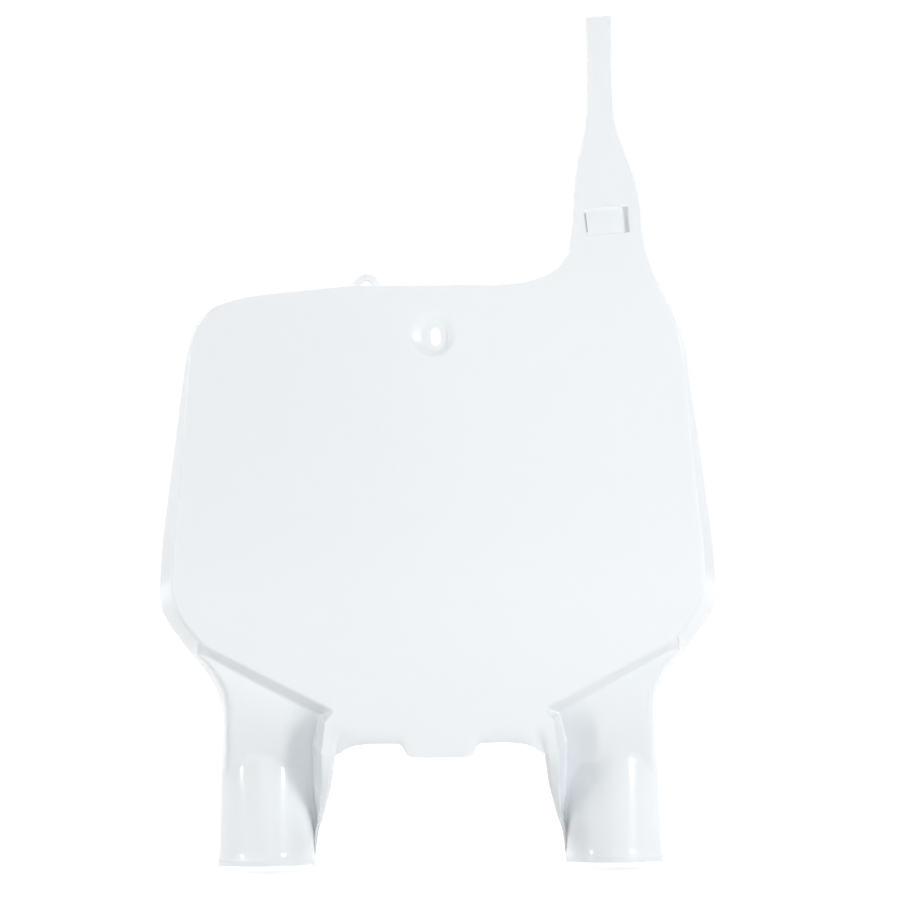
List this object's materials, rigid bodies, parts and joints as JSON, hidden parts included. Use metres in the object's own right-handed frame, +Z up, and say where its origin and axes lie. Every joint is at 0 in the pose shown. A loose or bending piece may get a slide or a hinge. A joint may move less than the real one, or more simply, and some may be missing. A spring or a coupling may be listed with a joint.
{
  "type": "racing number board",
  "caption": "Moulded front number board for a racing motorbike: broad crowned face, legs with fork saddles, a dimpled screw slot, an eyelet and a fastening strap on one side.",
  "frame": {"origin": "Centre of the upright screw slot, on the seat at the bottom of its dimple", "axes": "+X to the right as the face is looked at, +Y from the face to the back, +Z up along the board's height"},
  "size_m": [0.339, 0.0517, 0.5173],
  "materials": {
    "board_plastic": "gloss, moulded through"
  },
  "bodies": {
    "root": {"number_board": "board_plastic"}
  },
  "joints": []
}
